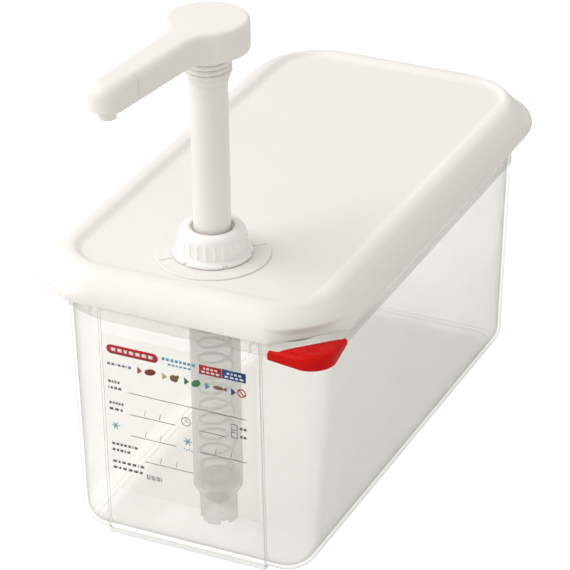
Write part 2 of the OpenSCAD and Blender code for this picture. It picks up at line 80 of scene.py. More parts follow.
# ---- materials ----
class Graph:
    """Short names for building a material's node tree."""

    def __init__(self, name):
        self.material = bpy.data.materials.new(name)
        self.material.use_nodes = True
        self.tree = self.material.node_tree
        self.tree.nodes.clear()
        self.out = self.tree.nodes.new("ShaderNodeOutputMaterial")
        self.point = self.node("ShaderNodeTexCoord").outputs["Object"]

    def node(self, kind, inputs=None, **settings):
        made = self.tree.nodes.new(kind)
        for key, value in settings.items():
            setattr(made, key, value)
        for key, value in (inputs or {}).items():
            if isinstance(value, bpy.types.NodeSocket):
                self.tree.links.new(value, made.inputs[key])
            else:
                made.inputs[key].default_value = value
        return made

    def noise(self, scale, detail=3.0, vector=None):
        """A noise value around 0.5; scale is in features per metre."""
        inputs = {"Vector": vector or self.point, "Scale": scale, "Detail": detail}
        return self.node("ShaderNodeTexNoise", inputs).outputs[0]

    def math(self, operation, *values, clamp=False):
        made = self.node("ShaderNodeMath", operation=operation, use_clamp=clamp)
        for i, value in enumerate(values):
            if isinstance(value, bpy.types.NodeSocket):
                self.tree.links.new(value, made.inputs[i])
            else:
                made.inputs[i].default_value = value
        return made.outputs[0]

    def mul(self, a, b):
        return self.math("MULTIPLY", a, b)

    def apart(self, a, b):
        """Distance between two values."""
        return self.math("ABSOLUTE", self.math("SUBTRACT", a, b))

    def spread(self, value, low, high, start=0.3, end=0.7):
        """Maps value from start..end to low..high."""
        inputs = {0: value, 1: start, 2: end, 3: low, 4: high}
        return self.node("ShaderNodeMapRange", inputs).outputs[0]

    def mix_rgb(self, share, a, b):
        inputs = {0: share, 6: a, 7: b}
        return self.node("ShaderNodeMix", inputs, data_type="RGBA").outputs[2]

    def bump(self, height, distance):
        inputs = {"Height": height, "Distance": distance, "Strength": 1.0}
        return self.node("ShaderNodeBump", inputs).outputs[0]

    def finish(self, shader):
        self.tree.links.new(shader, self.out.inputs[0])
        return self.material


def linear(rgb):
    """An sRGB colour of 0..255 as linear RGBA."""
    out = []
    for v in rgb:
        c = v / 255
        out.append(c / 12.92 if c <= 0.04045 else ((c + 0.055) / 1.055) ** 2.4)
    return (*out, 1.0)


def moulded(
    name, rgb, rough=0.35, shade=0.96, grain=0.00002, sheen=0.45, glow=0.0, painted_gap_shade=0.78, calm=None
):
    """Moulded plastic: cloudy colour and gloss, fine grain, soft waviness and painted shade in crevices.

    shade is the share of rgb left in the clouds, and crevice is the share left in narrow gaps, where
    ambient-occlusion shade is painted into the colour. glow is the weight of subsurface scattering. calm
    is the colour that other surfaces see, for a strong colour that would stain its neighbours.
    """
    g = Graph(name)
    cloud = g.noise(28.0, 4.0)
    base = linear(rgb)
    dark = (base[0] * shade, base[1] * shade, base[2] * shade, 1.0)
    colour = g.mix_rgb(g.spread(cloud, 0.0, 1.0), dark, base)
    # Painted shade: the colour is darkened where ambient occlusion finds narrow gaps and crevices.
    open_sky = g.node("ShaderNodeAmbientOcclusion", {"Distance": 0.0035}, samples=6).outputs["AO"]
    painted_gap_colour = linear([v * painted_gap_shade for v in rgb])
    colour = g.mix_rgb(g.spread(open_sky, 0.0, 1.0, 0.25, 0.9), painted_gap_colour, colour)
    if calm:
        bounced = g.node("ShaderNodeLightPath").outputs["Is Diffuse Ray"]
        colour = g.mix_rgb(bounced, colour, linear(calm))
    gloss = g.spread(g.noise(180.0, 5.0), rough - 0.06, rough + 0.08)
    height = g.math("ADD", g.mul(g.noise(1400.0, 2.0), 0.5), g.mul(g.noise(60.0, 2.0), 1.5))
    inputs = {
        "Base Color": colour,
        "Roughness": gloss,
        "Normal": g.bump(height, grain),
        "Specular IOR Level": sheen,
    }
    if glow:
        inputs["Subsurface Weight"] = glow
        inputs["Subsurface Radius"] = (0.004, 0.0035, 0.003)
        inputs["Subsurface Scale"] = 1.0
    return g.finish(g.node("ShaderNodeBsdfPrincipled", inputs).outputs[0])


def metal(name, rgb):
    """Drawn stainless steel with fine streaks."""
    g = Graph(name)
    streak = g.node("ShaderNodeMapping", {"Vector": g.point, "Scale": (1.0, 1.0, 14.0)}).outputs[0]
    lines = g.noise(220.0, 3.0, streak)
    dark = linear([v * 0.8 for v in rgb])
    inputs = {
        "Base Color": g.mix_rgb(g.spread(lines, 0.0, 1.0), dark, linear(rgb)),
        "Roughness": g.spread(g.noise(400.0), 0.17, 0.35),
        "Normal": g.bump(lines, 0.00002),
        "Metallic": 1.0,
    }
    return g.finish(g.node("ShaderNodeBsdfPrincipled", inputs).outputs[0])


def box_zones(g):
    """Shares from 0 to 1 of where the box is denser and carries painted shade, and of the lines drawn by
    its edges.

    The floor is dense and tinted with painted shade, but less so in a round-ended patch under the pump.
    The lines follow the sides and the foot of the label pad, and the rounding all round the foot of the
    box.
    """
    split = g.node("ShaderNodeSeparateXYZ", {"Vector": g.point}).outputs
    x, y, z = (g.mul(split[i], 1 / MM) for i in range(3))
    floor = g.spread(z, 1.0, 0.0, FLOOR_T + 0.1, FLOOR_T + 1.3)
    reach = g.math("MAXIMUM", g.math("SUBTRACT", g.apart(x, PATCH_X), PATCH_HALF), 0.0)
    across = g.apart(y, PATCH_Y)
    away = g.math("SQRT", g.math("ADD", g.mul(reach, reach), g.mul(across, across)))
    patch = g.spread(away, 1.0, 0.0, PATCH_R - 0.3, PATCH_R + 0.3)
    dense_shaded_floor = g.mul(floor, g.math("SUBTRACT", 1.0, g.mul(patch, 0.85)))
    front = g.spread(y, 1.0, 0.0, FRONT_Y - 1.0, FRONT_Y + 1.0)
    off_centre = g.math("ABSOLUTE", x)
    sides = g.mul(
        g.spread(g.apart(off_centre, PAD_LINE_X), 1.0, 0.0, 0.25, 0.5),
        g.spread(z, 0.0, 1.0, PAD_LINE_Z - 0.4, PAD_LINE_Z),
    )
    foot = g.mul(
        g.spread(g.apart(z, PAD_LINE_Z), 1.0, 0.0, 0.3, 0.8),
        g.spread(off_centre, 1.0, 0.0, PAD_LINE_X, PAD_LINE_X + 0.4),
    )
    round_foot = g.spread(g.apart(z, FOOT_LINE_Z), 0.55, 0.0, 0.2, 0.9)
    pad = g.mul(front, g.math("MAXIMUM", sides, foot))
    return dense_shaded_floor, g.math("MAXIMUM", round_foot, pad)


def translucent(
    name, rgb, body, edge, through=0.5, tint=0.97, edge_tint=0.86, lift=0.0, zones=None
):
    """Milky polypropylene: mostly see-through, a little scattering, and darker at grazing angles.

    body and edge are the milky shares seen straight on and at a grazing angle, and tint and
    edge_tint are what the rest lets through. through is the part of the milk that scatters
    forwards, and lift stands for light scattered many times inside a thick wall.
    """
    g = Graph(name)
    wave = g.noise(9.0, 2.0)
    grain = g.noise(600.0, 3.0)
    normal = g.bump(g.math("ADD", g.mul(wave, 3.0), grain), 0.00003)
    facing = g.node("ShaderNodeLayerWeight", {"Blend": 0.5}).outputs["Facing"]
    grazing = g.math("POWER", facing, 2.6)
    cloud = g.spread(g.noise(14.0, 4.0), 0.9, 1.1)
    share = g.math("MULTIPLY", g.spread(grazing, body, edge, 0.0, 1.0), cloud, clamp=True)
    colour = linear(rgb)
    if zones:
        dense_shaded_floor, lines = zones(g)
        denser = g.math("MAXIMUM", g.mul(dense_shaded_floor, 0.14), g.mul(lines, 0.4))
        share = g.math("MAXIMUM", share, denser)
        # Painted shade: the dense floor is tinted grey, standing for the shade the lid casts into the
        # box.
        colour = g.mix_rgb(dense_shaded_floor, colour, linear((206, 203, 198)))
        colour = g.mix_rgb(lines, colour, linear((186, 190, 192)))
    back = g.node("ShaderNodeBsdfDiffuse", {"Color": colour, "Normal": normal}).outputs[0]
    forward = g.node("ShaderNodeBsdfTranslucent", {"Color": colour}).outputs[0]
    scatter = g.node("ShaderNodeMixShader", {0: through, 1: back, 2: forward}).outputs[0]
    inner = g.node("ShaderNodeEmission", {"Color": colour, "Strength": lift}).outputs[0]
    scatter = g.node("ShaderNodeAddShader", {0: scatter, 1: inner}).outputs[0]
    faces = (tint, tint * 0.996, tint * 0.99, 1.0)
    edges = (edge_tint * 0.99, edge_tint, edge_tint, 1.0)
    passed = g.mix_rgb(grazing, faces, edges)
    clear = g.node("ShaderNodeBsdfTransparent", {"Color": passed}).outputs[0]
    milky = g.node("ShaderNodeMixShader", {0: share, 1: clear, 2: scatter}).outputs[0]
    gloss = g.node("ShaderNodeBsdfGlossy", {"Roughness": 0.22, "Normal": normal}).outputs[0]
    fresnel = g.node("ShaderNodeFresnel", {"IOR": 1.35, "Normal": normal}).outputs[0]
    front = g.math("SUBTRACT", 1.0, g.node("ShaderNodeNewGeometry").outputs["Backfacing"])
    shine = g.math("MINIMUM", g.mul(g.mul(fresnel, front), 0.7), 0.16)
    return g.finish(g.node("ShaderNodeMixShader", {0: shine, 1: milky, 2: gloss}).outputs[0])


MAT = {
    "pp_translucent": translucent(
        "milky_polypropylene", (228, 228, 223), 0.11, 0.28, tint=0.98, edge_tint=0.8, zones=box_zones
    ),
    "label_film": translucent(
        "label_film", (252, 252, 248), 0.07, 0.16, through=0.15, tint=1.0, edge_tint=0.97
    ),
    "natural_pp": translucent("natural_polypropylene", (250, 251, 251), 0.37, 0.62, lift=0.16),
    "red_plastic": moulded(
        "red_polypropylene", (216, 8, 2), 0.26, 0.93, sheen=0.14, calm=(150, 110, 104)
    ),
    "white_pp": moulded(
        "white_polypropylene", (247, 243, 240), 0.42, 0.985, glow=0.05, painted_gap_shade=0.93
    ),
    "bright_white_pp": moulded(
        "bright_white_polypropylene", (253, 252, 250), 0.34, 0.985, glow=0.05, painted_gap_shade=0.9
    ),
    "pump_white": moulded(
        "pump_polypropylene", (248, 244, 240), 0.4, 0.985, 0.000006, 0.4, glow=0.05, painted_gap_shade=0.86
    ),
    "silicone": moulded("silicone", (222, 223, 220), 0.55, 0.94, glow=0.2),
    "dark_rubber": moulded("dark_rubber", (46, 47, 49), 0.6, 0.8),
    "stainless": metal("stainless_steel", (196, 198, 202)),
}
NODE_SLOT = {s["node"]: s["material_slot"] for s in frame["record"]["subparts"]}
for node_name, node_object in NODES.items():
    node_object.data.materials.clear()
    node_object.data.materials.append(MAT[NODE_SLOT[node_name]])


# ---- mesh helpers ----
def add_object(name, data):
    made = bpy.data.objects.new(name, data)
    bpy.context.scene.collection.objects.link(made)
    return made


def lerp(a, b, t):
    return tuple(x + (y - x) * t for x, y in zip(a, b))


def at_height(points, z):
    return [(x, y, z) for x, y in points]


def corner_arcs(w, l, radii, cut=(0, 0, 0, 0)):
    """Four corners of a plan outline: back right, back left, front left, front right.

    w and l are half the width and length. cut 1 makes a corner a straight chamfer, 0 an arc.
    """
    centres = (
        (w - radii[0], l - radii[0]),
        (radii[1] - w, l - radii[1]),
        (radii[2] - w, radii[2] - l),
        (w - radii[3], radii[3] - l),
    )
    corners = []
    for i, (cx, cy) in enumerate(centres):
        angles = [math.radians(90 * i + 90 * k / ARC_STEPS) for k in range(ARC_STEPS + 1)]
        arc = [(cx + radii[i] * math.cos(a), cy + radii[i] * math.sin(a)) for a in angles]
        chord = [lerp(arc[0], arc[-1], k / ARC_STEPS) for k in range(ARC_STEPS + 1)]
        corners.append([lerp(p, q, cut[i]) for p, q in zip(arc, chord)])
    return corners


def outline(w, l, radii, cut=(0, 0, 0, 0), sides=6):
    """Closed plan outline of a rounded rectangle, with points along its sides too."""
    corners = corner_arcs(w, l, radii, cut)
    points = []
    for i, arc in enumerate(corners):
        points += arc
        following = corners[(i + 1) % 4][0]
        points += [lerp(arc[-1], following, k / (sides + 1)) for k in range(1, sides + 1)]
    return points


def loft(bm, rings, wrap=False, caps=True):
    """Adds a closed surface through rings of equal length, capped flat or wrapped round."""
    rows = [[bm.verts.new(Vector(p) * MM) for p in ring] for ring in rings]
    count = len(rows[0])
    pairs = list(zip(rows, rows[1:]))
    if wrap:
        pairs.append((rows[-1], rows[0]))
    for a, b in pairs:
        for i in range(count):
            j = (i + 1) % count
            bm.faces.new((a[i], a[j], b[j], b[i]))
    if caps and not wrap:
        bm.faces.new(rows[0][::-1])
        bm.faces.new(rows[-1])
    return rows


def revolve(bm, profile, steps, centre, radius=None):
    """Adds a closed profile of (radius, height) turned round a vertical axis.

    radius(row, r, z, a) changes the radius at an angle.
    """
    rings = []
    for row, (r, z) in enumerate(profile):
        ring = []
        for k in range(steps):
            a = 2 * math.pi * k / steps
            here = radius(row, r, z, a) if radius else r
            ring.append((centre[0] + here * math.cos(a), centre[1] + here * math.sin(a), z))
        rings.append(ring)
    loft(bm, rings, wrap=True)


def to_mesh(bm, name, sharp):
    """Mesh of bm, which is freed: smooth, apart from the edges that turn by more than sharp."""
    bmesh.ops.recalc_face_normals(bm, faces=bm.faces)
    for face in bm.faces:
        face.smooth = True
    for edge in bm.edges:
        if len(edge.link_faces) == 2 and edge.calc_face_angle(0.0) > math.radians(sharp):
            edge.smooth = False
    data = bpy.data.meshes.new(name)
    bm.to_mesh(data)
    bm.free()
    return data


def add_piece(name, bm, slot, body, replaced=(), sharp=34, material=None):
    """Adds a piece that rides on a body and stands for the replaced CAD nodes."""
    made = add_object(name, to_mesh(bm, name, sharp))
    made.data.materials.append(material or MAT[slot])
    if sharp < 90:
        normals = made.modifiers.new("normals", "WEIGHTED_NORMAL")
        normals.keep_sharp = True
    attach(made, body)
    if replaced:
        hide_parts(*replaced)
    return made


def subtract(bm, *cutters):
    """bm less the closed meshes of the cutters, as a new bmesh."""
    base = add_object("base", to_mesh(bm, "base", 180))
    others = [add_object("cutter", to_mesh(c, "cutter", 180)) for c in cutters]
    for other in others:
        cut = base.modifiers.new("cut", "BOOLEAN")
        cut.operation, cut.solver, cut.object = "DIFFERENCE", "EXACT", other
    graph = bpy.context.evaluated_depsgraph_get()
    data = bpy.data.meshes.new_from_object(base.evaluated_get(graph))
    result = bmesh.new()
    result.from_mesh(data)
    bmesh.ops.remove_doubles(result, verts=result.verts, dist=1e-6)
    for made in (base, *others):
        bpy.data.objects.remove(made)
    bpy.data.meshes.remove(data)
    return result


def quarter(steps, first=90, last=0):
    """Angles in radians from first to last, given in degrees; a quarter turn by default."""
    return [math.radians(first + (last - first) * k / steps) for k in range(steps + 1)]


# ---- container ----
def wall_x(z):
    """Half the wall's outer width at height z; wall_y is half its length."""
    return HX - WALL_INSET[0] - WALL_TAPER[0] * (1 - z / BODY_H)


def wall_y(z):
    return HY - WALL_INSET[1] - WALL_TAPER[1] * (1 - z / BODY_H)


# Points across the label pad's front edge: x, and the share of the way out to its face.
PAD_EDGE = ((-47.05, 0.0), (-46.95, 0.7), (-46.55, 1.0), (46.55, 1.0), (46.95, 0.7), (47.05, 0.0))


def wall_loop(z, inset, pad=0.0):
    """Outline of the wall at height z, moved inwards; pad 1 brings its front out to the label pad."""
    r = max(WALL_R[0] + (WALL_R[1] - WALL_R[0]) * z / BODY_H - inset, 1.0)
    arcs = corner_arcs(wall_x(z) - inset, wall_y(z) - inset, (r, r, r, r))
    y = arcs[2][-1][1]
    out = y + (-(wall_y(z) + PAD_PROUD) - y) * pad
    front = [(x, y + (out - y) * share) for x, share in PAD_EDGE]
    return at_height(arcs[0] + arcs[1] + arcs[2] + front + arcs[3], z)


def rim_loop(z, inset):
    """Outline of the rim at height z; its front right corner is a straight chamfer."""
    radii = [r - inset * (2 - math.sqrt(2) if c else 1) for r, c in zip(FLANGE_R, FLANGE_CUT)]
    arcs = corner_arcs(HX - inset, HY - inset, radii, FLANGE_CUT)
    start, end = arcs[2][-1], arcs[3][0]
    front = [lerp(start, end, t) for t in (0.1, 0.12, 0.14, 0.9, 0.93, 0.96)]
    return at_height(arcs[0] + arcs[1] + arcs[2] + front + arcs[3], z)


def floor_loop(a, r, z, inset, pad=0.0):
    """Outline of the wall part-way round its lower edge, of radius r, starting at height z."""
    return wall_loop(z + r * (1 - math.sin(a)), inset + r * (1 - math.cos(a)), pad)


def add_container():
    """The box: up the outside, over the rim and its lip, and down the inside."""
    outer, inner, rim_r = FLOOR_EDGE_R, FLOOR_EDGE_R - WALL_T, 1.3
    under, lip = BODY_H - FLANGE_T, BODY_H - LIP_DROP
    rings = [floor_loop(a, outer, 0, 0) for a in quarter(6, 90, 45)[:-1]]
    ledge_inset = outer * (1 - math.cos(math.radians(45)))
    rings.append(wall_loop(PAD_BOTTOM - 0.03, ledge_inset + 0.02))
    rings += [floor_loop(a, outer, 0, 0, 1.0) for a in quarter(6, 45, 0)]
    rings += [wall_loop(z, 0, 1.0) for z in (60, 110, under - 1.0)]
    rings.append(wall_loop(under - 0.3, -0.3, 0.0))
    rings += [
        rim_loop(under, LIP_T + 0.6), rim_loop(under - 0.5, LIP_T), rim_loop(lip + 0.2, LIP_T),
        rim_loop(lip, LIP_T - 0.3), rim_loop(lip, 0.3), rim_loop(lip + 0.3, 0),
    ]
    for a in quarter(5, 0, 90):
        rings.append(rim_loop(BODY_H - rim_r + rim_r * math.sin(a), rim_r - rim_r * math.cos(a)))
    rings.append(rim_loop(BODY_H, rim_r + 1.2))
    rings += [
        wall_loop(BODY_H, WALL_T - 1.6), wall_loop(BODY_H, WALL_T - 1.0),
        wall_loop(BODY_H - 0.3, WALL_T - 0.25), wall_loop(BODY_H - 1.0, WALL_T),
        wall_loop(80, WALL_T),
    ]
    rings += [floor_loop(a, inner, FLOOR_T, WALL_T) for a in quarter(8, 0, 90)]
    bm = bmesh.new()
    loft(bm, rings)
    add_piece("container_shell", bm, "pp_translucent", "box", ("container",))


# ---- lid ----
# Rows of the lid's outside, from the skirt's foot to the panel: how far in, height, how far the
# corners are towards the panel's, and how far towards the skirt's foot.
LID_PROFILE = (
    (-0.3, SKIRT_Z + 0.25, 0, 1), (-0.38, SKIRT_Z + 0.7, 0, 1),
    (-0.3, SKIRT_Z + 1.5, 0, 1), (0, SKIRT_Z + 3.3, 0, 1),
    (0.6, SKIRT_Z + 5, 0, 0.75), (1.4, SKIRT_Z + 6.8, 0, 0.3), (2.4, SKIRT_Z + 8.6, 0, 0.08),
    (5, SKIRT_Z + 12, 0.1, 0), (7.6, CREST_Z - 2.6, 0.2, 0), (9.8, CREST_Z - 1, 0.32, 0),
    (12.2, CREST_Z - 0.2, 0.48, 0), (14.4, CREST_Z, 0.64, 0), (16.4, CREST_Z - 0.4, 0.78, 0),
    (18.2, PANEL_Z + 1.1, 0.9, 0), (20, PANEL_Z + 0.25, 1, 0), (22, PANEL_Z, 1, 0),
)


def smooth_rows(rows, steps):
    """Rows joined by a smooth curve through all of them."""
    out = []
    for i in range(len(rows) - 1):
        p0, p1, p2, p3 = rows[max(i - 1, 0)], rows[i], rows[i + 1], rows[min(i + 2, len(rows) - 1)]
        for k in range(steps):
            t = k / steps
            out.append(tuple(
                0.5 * (2 * b + (c - a) * t + (2 * a - 5 * b + 4 * c - d) * t * t
                       + (3 * b - a - 3 * c + d) * t ** 3)
                for a, b, c, d in zip(p0, p1, p2, p3)
            ))
    out.append(rows[-1])
    return out


def lid_loop(row):
    """Plan outline of the lid for a row like those of LID_PROFILE."""
    inset, z, share, edge = row
    beads = [b + (PANEL_R - b) * share for b in BEAD_R]
    radii = [edge * e + (1 - edge) * b for e, b in zip(EDGE_R, beads)]
    return at_height(outline(HX - inset, HY - inset, radii, [edge * c for c in EDGE_CUT], 12), z)


def even_loop(w, l, r, z):
    """Outline with four equal corners."""
    return at_height(outline(w, l, (r, r, r, r), sides=12), z)


def hole_loop(loop, z, r):
    """Circle round the pump's axis, with its points towards those of the loop."""
    angles = [math.atan2(p[1] + PUMP_Y, p[0]) for p in loop]
    return [(r * math.cos(a), r * math.sin(a) - PUMP_Y, z) for a in angles]


def add_lid():
    """The lid: its underside with the plug and the locating ring, then its outside."""
    plug_gap, ring_inset = 2.4, 7.2
    under, plug_z = PANEL_Z - LID_T, BODY_H - 6
    px, py = wall_x(BODY_H) - WALL_T - plug_gap, wall_y(BODY_H) - WALL_T - plug_gap
    lx, ly = HX - ring_inset, HY - ring_inset
    shelf = SKIRT_Z + 7
    rings = [
        even_loop(px - 5, py - 5, 20, under), even_loop(px - 2, py - 2, 23.4, under - 0.4),
        even_loop(px - 2, py - 2, 23.4, plug_z), even_loop(px, py, 25.4, plug_z),
        even_loop(px, py, 25.4, shelf), even_loop(lx - 1.8, ly - 1.8, 38.2, shelf),
        even_loop(lx - 1.8, ly - 1.8, 38.2, BODY_H + 0.1), even_loop(lx, ly, 40, BODY_H + 0.1),
        even_loop(lx, ly, 40, shelf), lid_loop((4, SKIRT_Z + 6.6, 0, 0.3)),
        lid_loop((1.5, SKIRT_Z + 2, 0, 1)), lid_loop((1.5, SKIRT_Z, 0, 1)),
        lid_loop((0.1, SKIRT_Z, 0, 1)),
    ]
    rings[0:0] = [hole_loop(rings[0], under, HOLE_R)]
    rings += [lid_loop(row) for row in smooth_rows(LID_PROFILE, 4)]
    rings.append(lid_loop((24, PANEL_Z, 1, 0)))
    rings.append(hole_loop(rings[-1], PANEL_Z, HOLE_R))
    bm = bmesh.new()
    loft(bm, rings, wrap=True)
    add_piece("lid_cover", bm, "white_pp", "lid", ("lid",), sharp=40)


# ---- colour clip ----
CLIP_X, CLIP_Y, CLIP_LOW = HX + CLIP_WALL, HY + CLIP_WALL, BODY_H - LIP_DROP - 2.6


def clip_outline(d):
    """Plan of the clip: two short legs round a rounded corner, moved inwards by d outside."""
    x, y, r = CLIP_X - d, d - CLIP_Y, CLIP_R - d
    left = (CLIP_X - CLIP_LEG[0] + CLIP_END_R + d / 2, y + CLIP_END_R)
    back = (x - CLIP_END_R, CLIP_LEG[1] - CLIP_Y - CLIP_END_R - d / 2)
    lean = math.degrees(math.atan2(back[1] - left[1], back[0] - left[0])) + 90
    points = []
    for centre, radius, first, last, steps in (
        ((x - r, y + r), r, 270, 360, 24),
        (back, CLIP_END_R, 0, lean, 6),
        (left, CLIP_END_R, lean, 268, 6),
    ):
        for a in quarter(steps, first, last):
            points.append((centre[0] + radius * math.cos(a), centre[1] + radius * math.sin(a)))
    return points


def clip_point(p, z):
    """A point of the clip, whose lower edge rises towards the ends of its legs."""
    left = (CLIP_X - p[0]) / CLIP_LEG[0]
    back = (p[1] + CLIP_Y) / CLIP_LEG[1]
    rise = 2.2 * max(0.0, (left - 0.55) / 0.45) ** 1.6
    rise += 4.6 * max(0.0, (back - 0.45) / 0.55) ** 1.5
    share = max(0.0, 1 - (z - CLIP_LOW) / (CLIP_TOP - CLIP_LOW))
    drop = 0.5 * max(0.0, (left - 0.8) / 0.2) ** 1.3
    return (p[0], p[1], z + rise * share - drop * (1 - share))


def clip_blank():
    """The clip before the rim is cut out of it, with caps drawn in to a flat middle."""
    rows = (
        (0.7, CLIP_LOW), (0.2, CLIP_LOW + 0.2), (0, CLIP_LOW + 0.7), (0, CLIP_LOW + 3),
        (0.04, CLIP_TOP - 3.2), (0.25, CLIP_TOP - 2.3), (0.7, CLIP_TOP - 1.5),
        (1.4, CLIP_TOP - 0.9), (2.3, CLIP_TOP - 0.45), (3.4, CLIP_TOP - 0.17),
        (4.6, CLIP_TOP - 0.05), (6.4, CLIP_TOP),
    )
    rings = [[clip_point(p, z) for p in clip_outline(d)] for d, z in rows]
    low, high = (HX - 9.0, 7.5 - HY, CLIP_LOW + 0.6), (HX - 9.0, 7.5 - HY, CLIP_TOP)
    under = [[lerp(p, low, share) for p in rings[0]] for share in (0.97, 0.5)]
    over = [[lerp(p, high, share) for p in rings[-1]] for share in (0.5, 0.97)]
    bm = bmesh.new()
    loft(bm, under + rings + over)
    return bm


def rim_cutter():
    """The rim's place, with a little clearance."""
    gap = [(x, y) for x, y, _ in rim_loop(0, -0.15)]
    bm = bmesh.new()
    loft(bm, [at_height(gap, BODY_H - LIP_DROP - 0.2), at_height(gap, BODY_H + 2)])
    return bm


def dimple_cutter():
    """The lower part of a ball, sunk a little into the clip's top."""
    ball, sink, turns = 14.0, 0.5, 48
    cx, cy, cz = HX - 8.4, 6.2 - HY, CLIP_TOP - sink + ball
    rings = []
    for k in range(1, 12):
        a = math.radians(k * 3.0)
        r, z = ball * math.sin(a), cz - ball * math.cos(a)
        around = (2 * math.pi * i / turns for i in range(turns))
        rings.append([(cx + r * math.cos(t), cy + r * math.sin(t), z) for t in around])
    bm = bmesh.new()
    loft(bm, rings)
    return bm


def add_clip():
    bm = subtract(clip_blank(), rim_cutter(), dimple_cutter())
    add_piece("clip_shell", bm, "red_plastic", "clip", ("colour_clip",), sharp=38)


# ---- nut, collar and head ----
AXIS = (0.0, -PUMP_Y)


def add_nut():
    """The nut: a notched flange, a ribbed wall and a rounded top with a lip round its opening."""
    top, grip = NUT_Z + NUT_H, NUT_R - 0.35
    profile = [
        (NUT_IN_R, NUT_Z), (NUT_FLANGE_R - 0.4, NUT_Z), (NUT_FLANGE_R, NUT_Z + 0.4),
        (NUT_FLANGE_R, NUT_Z + 1.2), (NUT_FLANGE_R - 0.5, NUT_Z + 1.9), (NUT_R + 0.6, NUT_Z + 2.3),
        (NUT_R - 0.1, NUT_Z + 2.9), (grip, NUT_Z + 3.6), (grip, NUT_Z + 4.2), (grip, top - 4.8),
        (NUT_R - 0.38, top - 4.2), (NUT_R - 0.6, top - 3.2), (NUT_R - 1.1, top - 2.1),
        (NUT_R - 2.0, top - 1.1), (NUT_R - 3.1, top - 0.45), (NUT_R - 4.4, top - 0.1),
        (NUT_R - 5.4, top), (NUT_LIP_R + 0.9, top - 0.15), (NUT_LIP_R + 0.25, top - 0.6),
        (NUT_LIP_R, top - 1.2), (NUT_LIP_R + 0.3, top - 1.35), (NUT_OPEN_R, top - 1.4),
        (NUT_OPEN_R, NUT_CEILING), (NUT_IN_R, NUT_CEILING),
    ]
    flange_rows, grip_rows = (2, 3), (8, 9)

    def radius(row, r, _, a):
        if row in grip_rows:
            return r + 0.5 * max(0.0, math.cos(NUT_RIBS * a)) ** 1.6
        if row in flange_rows:
            notch = max(0.0, math.cos(NUT_NOTCHES * a - 1.5) - 0.9) / 0.1
            return r - 0.8 * min(1.0, notch * 3)
        return r

    bm = bmesh.new()
    revolve(bm, profile, NUT_RIBS * 12, AXIS, radius)
    add_piece("nut_shell", bm, "bright_white_pp", "nut", ("closure_nut",), sharp=40)


def collar_radius(z, a):
    """Lock collar: a plain lower band with one small tab, then a screw thread up to the head."""
    up = z - (HEAD_Z - COLLAR_H)
    r = STEM_R + 0.45 + 0.75 * min(1.0, up / 3.2)
    turn = (up - 3.0) / THREAD_PITCH - a / (2 * math.pi)
    fade = max(0.0, min(1.0, (up - THREAD_LOW) / 0.9, (THREAD_HIGH - up) / 0.8))
    r += THREAD_DEPTH * fade * abs(math.cos(math.pi * turn)) ** 0.8
    tab_z, tab_h, tab_half, tab_angle = 5.2, 2.6, 16, -64.0
    off = abs((math.degrees(a) - tab_angle + 180) % 360 - 180) / tab_half
    drop = (tab_z - up) / tab_h
    if 0 <= drop <= 1 and off < 1:
        r = max(r, STEM_R + 1.2 + max(0.0, min(1.0, 3 * (1 - drop - off))))
    return r


def add_collar():
    low, high, rows, bore = HEAD_Z - COLLAR_H, HEAD_Z - 0.03, 76, STEM_R + 0.05
    profile = [(STEM_R, low + (high - low) * k / rows) for k in range(rows + 1)]
    profile += [(bore, high), (bore, low)]
    bm = bmesh.new()
    revolve(bm, profile, 144, AXIS, lambda row, r, z, a: collar_radius(z, a) if row <= rows else r)
    add_piece("collar_shell", bm, "pump_white", "head", ("lock_collar",), sharp=50)


TIP_STEPS, BLEND_STEPS, DISC_STEPS = 32, 18, 64
BLEND_Y = math.sqrt((HEAD_R + BLEND_R) ** 2 - (SPOUT_HALF + BLEND_R) ** 2)
BLEND_A = math.atan2(BLEND_Y, SPOUT_HALF + BLEND_R)
PLAN_COUNT = TIP_STEPS + 2 * BLEND_STEPS + DISC_STEPS + 2


def plan_point(i, d):
    """Point i of the plan outline of head and spout, moved inwards by d; straight ahead is -Y."""
    if i <= TIP_STEPS:
        a = math.pi + math.pi * i / TIP_STEPS
        return ((SPOUT_HALF - d) * math.cos(a), -SPOUT_REACH + (SPOUT_HALF - d) * math.sin(a))
    i -= TIP_STEPS + 1
    if i <= BLEND_STEPS:
        a = math.pi - BLEND_A * i / BLEND_STEPS
        x = SPOUT_HALF + BLEND_R + (BLEND_R + d) * math.cos(a)
        return (x, -BLEND_Y + (BLEND_R + d) * math.sin(a))
    i -= BLEND_STEPS
    if i < DISC_STEPS:
        a = -BLEND_A + (math.pi + 2 * BLEND_A) * i / DISC_STEPS
        return ((HEAD_R - d) * math.cos(a), (HEAD_R - d) * math.sin(a))
    i -= DISC_STEPS
    a = BLEND_A * (1 - i / BLEND_STEPS)
    x = -SPOUT_HALF - BLEND_R + (BLEND_R + d) * math.cos(a)
    return (x, -BLEND_Y + (BLEND_R + d) * math.sin(a))


def along(y):
    """How far out from the head a point of the spout is, 0 to 1."""
    return max(0.0, min(1.0, (-y - 14) / 20))


def tip_share(y):
    """How near the spout's tip a point is, 0 to 1."""
    return max(0.0, min(1.0, (-y - 66) / 26))


def turned(p):
    """A point of the spout's own frame, turned and moved to its place."""
    a = math.radians(-SPOUT_ANGLE)
    x, y, z = p
    return (x * math.cos(a) - y * math.sin(a), x * math.sin(a) + y * math.cos(a) - PUMP_Y, z)


